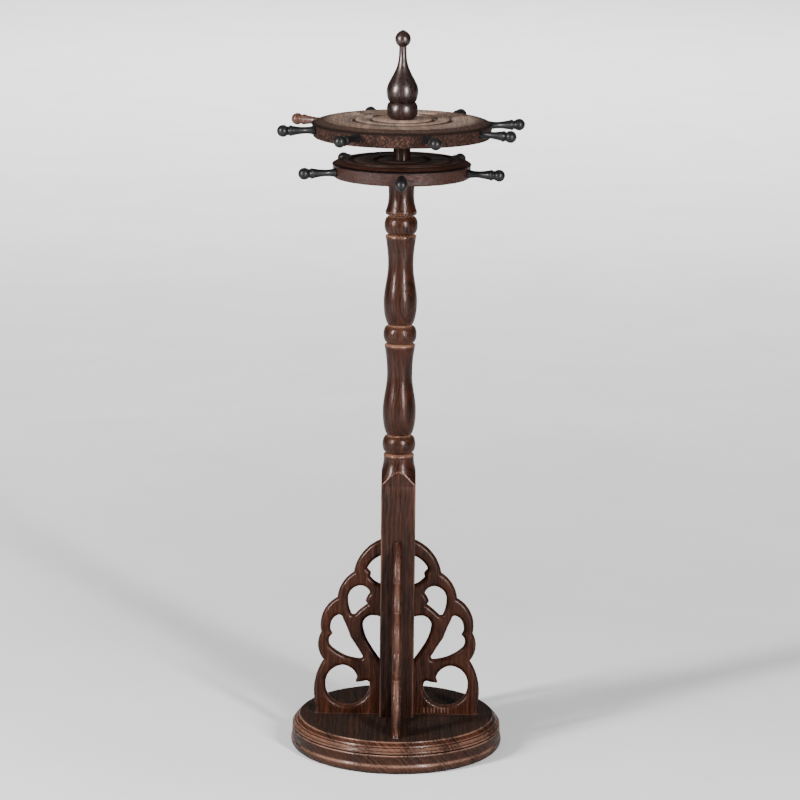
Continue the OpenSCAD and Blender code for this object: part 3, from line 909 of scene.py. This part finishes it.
def pale_dowel(name):
    """Plain birch with fine straight fibres."""
    made, tree, shader = new_material(name)
    place = add(tree, "ShaderNodeTexCoord").outputs["Object"]
    fibres = grained(tree, place, 0.5, 6, 3.0, 0.6).outputs[0]
    colour = mix(tree, contrast(tree, fibres, 0.35, 0.7), (0.5, 0.34, 0.19, 1), (0.68, 0.52, 0.33, 1))
    tree.links.new(colour, shader.inputs["Base Color"])
    tree.links.new(weighted(tree, (fibres, 0.3), (1.0, 0.45)), shader.inputs["Roughness"])
    return made


def dress(made, material):
    made.data.materials.clear()
    made.data.materials.append(material)


# ---- Stage, lights and camera ----

LOOK_AT_Z = 0.225


def make_floor():
    """A pale floor with painted shade round the stand, paler further out, with faint clouds."""
    fade_reach = 5.0
    bpy.ops.mesh.primitive_circle_add(vertices=96, radius=14, fill_type="NGON", location=(0, 0, 0))
    floor = bpy.context.object
    floor.name = "floor"
    material, tree, shader = new_material("pale_floor")
    place = add(tree, "ShaderNodeTexCoord").outputs["Object"]
    # Painted shade: the floor's colour darkens towards the stand.
    spread = ramp(tree, math_of(tree, "DIVIDE", length_of(tree, place), fade_reach),
                  [(0.0, 0.45), (0.07, 0.5), (0.2, 0.82), (0.4, 0.92), (1.0, 0.97)])
    cloud = ramp(tree, noise(tree, place, 9.0, 5.0, 0.6).outputs[0], [(0.3, 0.94), (0.7, 1.0)])
    tree.links.new(mix(tree, 1.0, spread, cloud, "MULTIPLY"), shader.inputs["Base Color"])
    shader.inputs["Roughness"].default_value = 0.9
    shader.inputs["Specular IOR Level"].default_value = 0.2
    floor.data.materials.append(material)


def area_light(name, size, power):
    data = bpy.data.lights.new(name, "AREA")
    data.shape = "RECTANGLE"
    data.size, data.size_y = size
    data.energy = power
    made = bpy.data.objects.new(name, data)
    bpy.context.scene.collection.objects.link(made)
    return made


def softbox(name, azimuth, elevation, distance, size, power):
    """An area light that faces the stand. Azimuth 0 is at the camera's side and 90 is to the right."""
    made = area_light(name, size, power)
    a, e = math.radians(azimuth), math.radians(elevation)
    away = Vector((math.sin(a) * math.cos(e), -math.cos(a) * math.cos(e), math.sin(e)))
    made.location = Vector((0, 0, LOOK_AT_Z)) + away * distance
    made.rotation_euler = (-away).to_track_quat("-Z", "Y").to_euler()


def make_lights():
    """Two tall narrow lights in front, a wide one that lifts the floor behind, and a sky that pales
    upward."""
    softbox("key", azimuth=-54, elevation=21, distance=1.45, size=(0.14, 0.75), power=80)
    softbox("fill", azimuth=30, elevation=16, distance=1.5, size=(0.13, 0.85), power=78)
    backdrop = area_light("backdrop", (4.0, 4.0), 130)
    backdrop.location = (0, 3.7, 3.0)
    backdrop.data.spread = math.radians(85)
    world = bpy.data.worlds.new("studio")
    bpy.context.scene.world = world
    world.use_nodes = True
    tree = world.node_tree
    background = next(n for n in tree.nodes if n.type == "BACKGROUND")
    direction = add(tree, "ShaderNodeTexCoord").outputs["Generated"]
    up = add(tree, "ShaderNodeSeparateXYZ", {0: direction}).outputs["Z"]
    sky = ramp(tree, up, [(0.0, 0.05), (0.2, 0.18), (0.9, 1.0)])
    tree.links.new(sky, background.inputs["Color"])
    background.inputs["Strength"].default_value = 0.4


def make_camera():
    """The photograph's view: 12 degrees down through a long lens, with a slight tilt."""
    data = bpy.data.cameras.new("camera")
    data.lens, data.sensor_width = 153, 36
    data.shift_x = 0.0008
    made = bpy.data.objects.new("camera", data)
    bpy.context.scene.collection.objects.link(made)
    bpy.context.scene.camera = made
    pitch, roll = math.radians(12.2), math.radians(0.584)
    made.location = (0, -2.086, 0.6757)
    level = Matrix.Rotation(math.pi / 2 - pitch, 4, "X")
    made.rotation_euler = (level @ Matrix.Rotation(roll, 4, "Z")).to_euler()


# ---- Assembly ----

def stand_for(piece, node, body, material):
    dress(piece, material)
    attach(piece, body)
    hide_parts(node)


def make_woods():
    """The six cuts of dark wood, by the piece they are for."""
    woods = {}
    woods["base"] = wood(
        "base_wood", grain=(90, 0, 0), pith=(-160, 160), length=40, weights=(0.8, 0.2, 0.1), porous=0.3,
        light=(0.027, 0.01, 0.0056), warm=(0.04, 0.0115, 0.0044), warmth=0.6,
        wear_and_highlight=(0.17, 0.095, 0.068), shade_and_stain_amount=0.7, shade_tone=(0.011, 0.009, 0.0078),
        roughness=0.24, shine=0.06, coat=0.1)
    woods["column"] = wood(
        "column_wood", weights=(0.8, 0.25, 0.25),
        light=(0.0135, 0.0034, 0.0012), warm=(0.019, 0.0036, 0.001), wear_and_highlight=(0.14, 0.07, 0.044),
        roughness=0.27, shine=0.11, coat=0.13, bump=0.5, tint=(1.0, 0.63, 0.53))
    woods["bracket"] = wood(
        "bracket_wood", pith=(-70, 45), figure=4,
        light=(0.023, 0.007, 0.0033), warm=(0.03, 0.007, 0.0022), wear_and_highlight=(0.062, 0.03, 0.021),
        roughness=0.3, coat=0.08)
    woods["finial"] = wood(
        "finial_wood", weights=(0.35, 0.15, 0.0), porous=0.15,
        light=(0.0095, 0.0034, 0.0024), warmth=0.2, wear_and_highlight=(0.02, 0.008, 0.005),
        roughness=0.2, shine=0.34, coat=0.15, bump=0.12, tint=(1.0, 0.85, 0.82))
    # The upper disc's top is painted pale, as painted sheen and light on its top; the wood's own dark tone
    # shows on the rim through shade_tone.
    woods["upper_disc"] = wood(
        "disc_wood", grain=(90, 0, 0), pith=(-120, 140), length=40, weights=(0.35, 0.25, 0.15),
        porous=0.25, base=0.36, light=(0.225, 0.165, 0.132), dark=(0.025, 0.0135, 0.01),
        warm=(0.24, 0.13, 0.08), wear_and_highlight=(0.09, 0.055, 0.042), shade_and_stain_amount=0.98,
        shade_tone=(0.0165, 0.0068, 0.0052), cut=0.8, roughness=0.4, shine=0.07, coat=0.0,
        tint=(1.0, 0.78, 0.7))
    woods["lower_disc"] = wood(
        "lower_disc_wood", grain=(0, 90, 0), pith=(20, -120), length=40, weights=(0.6, 0.25, 0.2),
        porous=0.35, base=0.1, light=(0.036, 0.024, 0.019), warm=(0.045, 0.022, 0.014),
        wear_and_highlight=(0.06, 0.03, 0.02), shade_and_stain_amount=0.92, shade_tone=(0.016, 0.0032, 0.0011), cut=0.5,
        roughness=0.2, shine=0.15, coat=0.16, bump=0.12, tint=(1.0, 0.95, 0.94))
    return woods


def build():
    woods = make_woods()
    black = ebony("ebony")
    brown = ebony("brown_peg_wood", dark=(0.012, 0.0045, 0.003), light=(0.07, 0.03, 0.02), roughness=0.36)
    birch = pale_dowel("birch")
    steel = plated_steel("steel")

    stand_for(make_base(), "base_plate", "stand", woods["base"])
    stand_for(make_column(), "column", "stand", woods["column"])
    for side, piece in make_brackets().items():
        stand_for(piece, f"bracket_{side}", "stand", woods["bracket"])
    lower = make_disc("lower_disc_turned", "lower_disc", SHOULDER_Z,
                      ovolo_w=7.4, bore_r=5.35, rings=(16.7, 31.1))
    stand_for(lower, "lower_disc", "lower_disc", woods["lower_disc"])
    upper = make_disc("upper_disc_turned", "upper_disc", UPPER_Z,
                      ovolo_w=8.6, bore_r=4.05, rings=(20.4, 31.2))
    stand_for(upper, "upper_disc", "upper_disc", woods["upper_disc"])
    lower_pegs = make_pegs("lower_peg", LOWER_PEGS, "lower_disc", LOWER_PEG_START)
    for number, peg in enumerate(lower_pegs, 1):
        stand_for(peg, f"lower_peg_{number}", "lower_disc", black)
    upper_pegs = make_pegs("upper_peg", UPPER_PEGS, "upper_disc", UPPER_PEG_START)
    for number, peg in enumerate(upper_pegs, 1):
        is_brown = number == BROWN_PEG
        stand_for(peg, f"upper_peg_{number}", "upper_disc", brown if is_brown else black)
    finial = turned("finial_turned", in_metres(finial_profile(), FINIAL_Z), 96)
    stand_for(finial, "finial", "finial", woods["finial"])
    hidden = {"column_screw": steel, "column_washer": steel, "bracket_screws": steel, "bracket_dowels": birch}
    for node, material in hidden.items():
        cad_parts[node].data.materials.clear()
        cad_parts[node].data.materials.append(material)


build()
make_floor()
make_lights()
make_camera()
